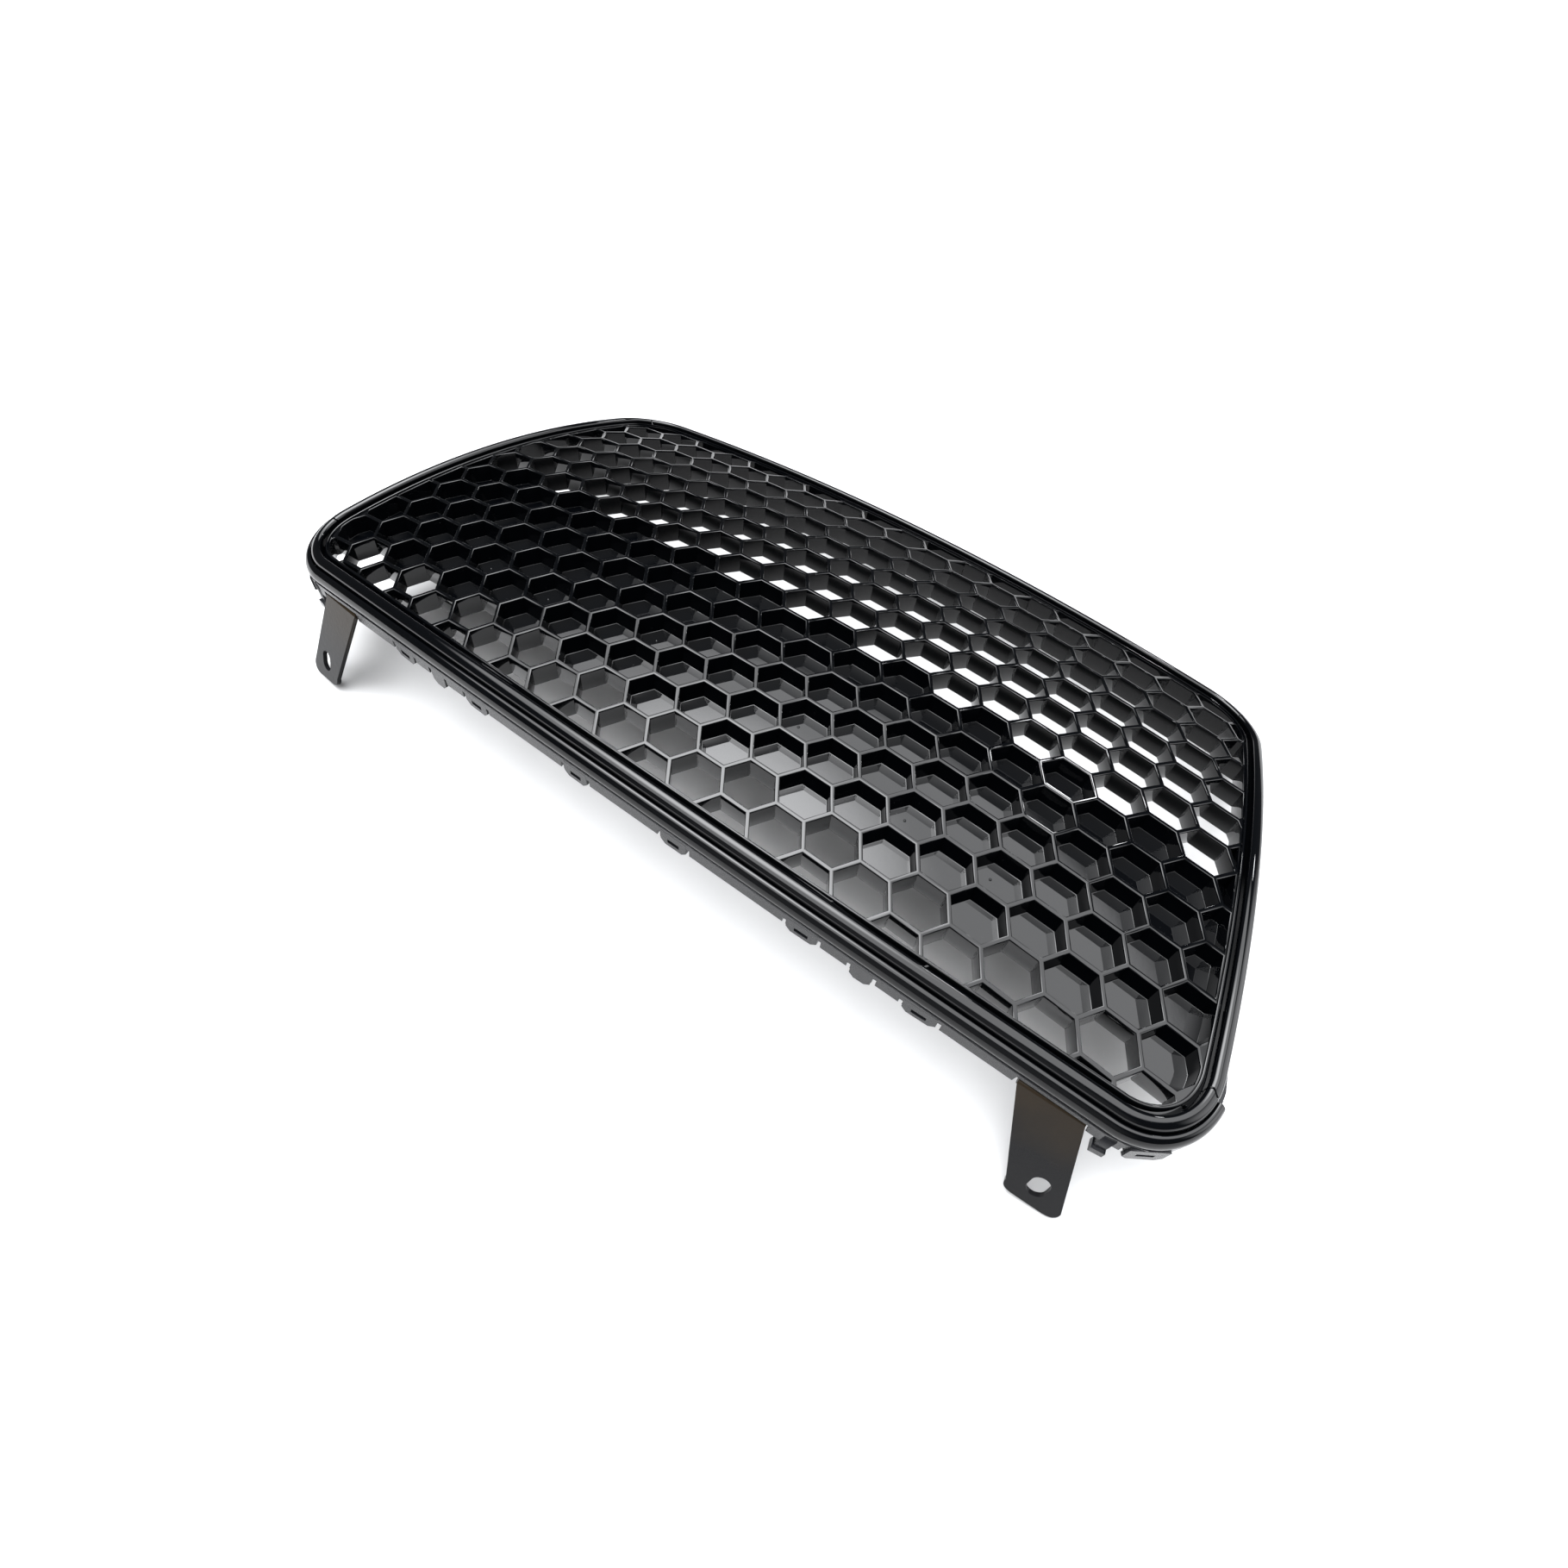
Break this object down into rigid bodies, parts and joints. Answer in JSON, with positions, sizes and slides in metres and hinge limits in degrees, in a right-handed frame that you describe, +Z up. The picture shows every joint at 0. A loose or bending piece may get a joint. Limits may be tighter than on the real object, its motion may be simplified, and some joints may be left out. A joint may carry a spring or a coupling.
{
  "type": "front grille",
  "caption": "Curved honeycomb front grille, its middle rows of cells blind, with a rounded surround, a bead along its wide edge, snap tabs and two steel mounting brackets.",
  "frame": {"origin": "centre of the footprint on the floor, with the grille lying face up on its bracket toes and its narrow edge", "axes": "+X along the wide edge, +Y from the wide edge towards the narrow edge, +Z up, out of the grille's face"},
  "size_m": [0.565, 0.3004, 0.0861],
  "materials": {
    "gloss_black": "high-gloss moulded black",
    "satin_black": "satin moulded black",
    "black_steel": "black coated sheet steel",
    "zinc": "zinc plated"
  },
  "bodies": {
    "root": {"honeycomb_insert": "gloss_black", "surround_wide_edge": "gloss_black", "surround_right_side": "gloss_black", "surround_narrow_edge": "gloss_black", "surround_left_side": "gloss_black", "wide_edge_bead": "gloss_black", "rear_carrier": "satin_black", "bracket_right": "black_steel", "bracket_left": "black_steel", "bracket_bolt_right_1": "zinc", "bracket_bolt_right_2": "zinc", "bracket_bolt_left_1": "zinc", "bracket_bolt_left_2": "zinc", "clamp_screw_1": "zinc", "clamp_screw_2": "zinc", "clamp_screw_3": "zinc", "clamp_screw_4": "zinc", "clamp_screw_5": "zinc", "clamp_screw_6": "zinc", "clamp_screw_7": "zinc", "clamp_screw_8": "zinc", "clamp_screw_9": "zinc", "clamp_screw_10": "zinc", "clamp_screw_11": "zinc", "clamp_screw_12": "zinc"}
  },
  "joints": []
}
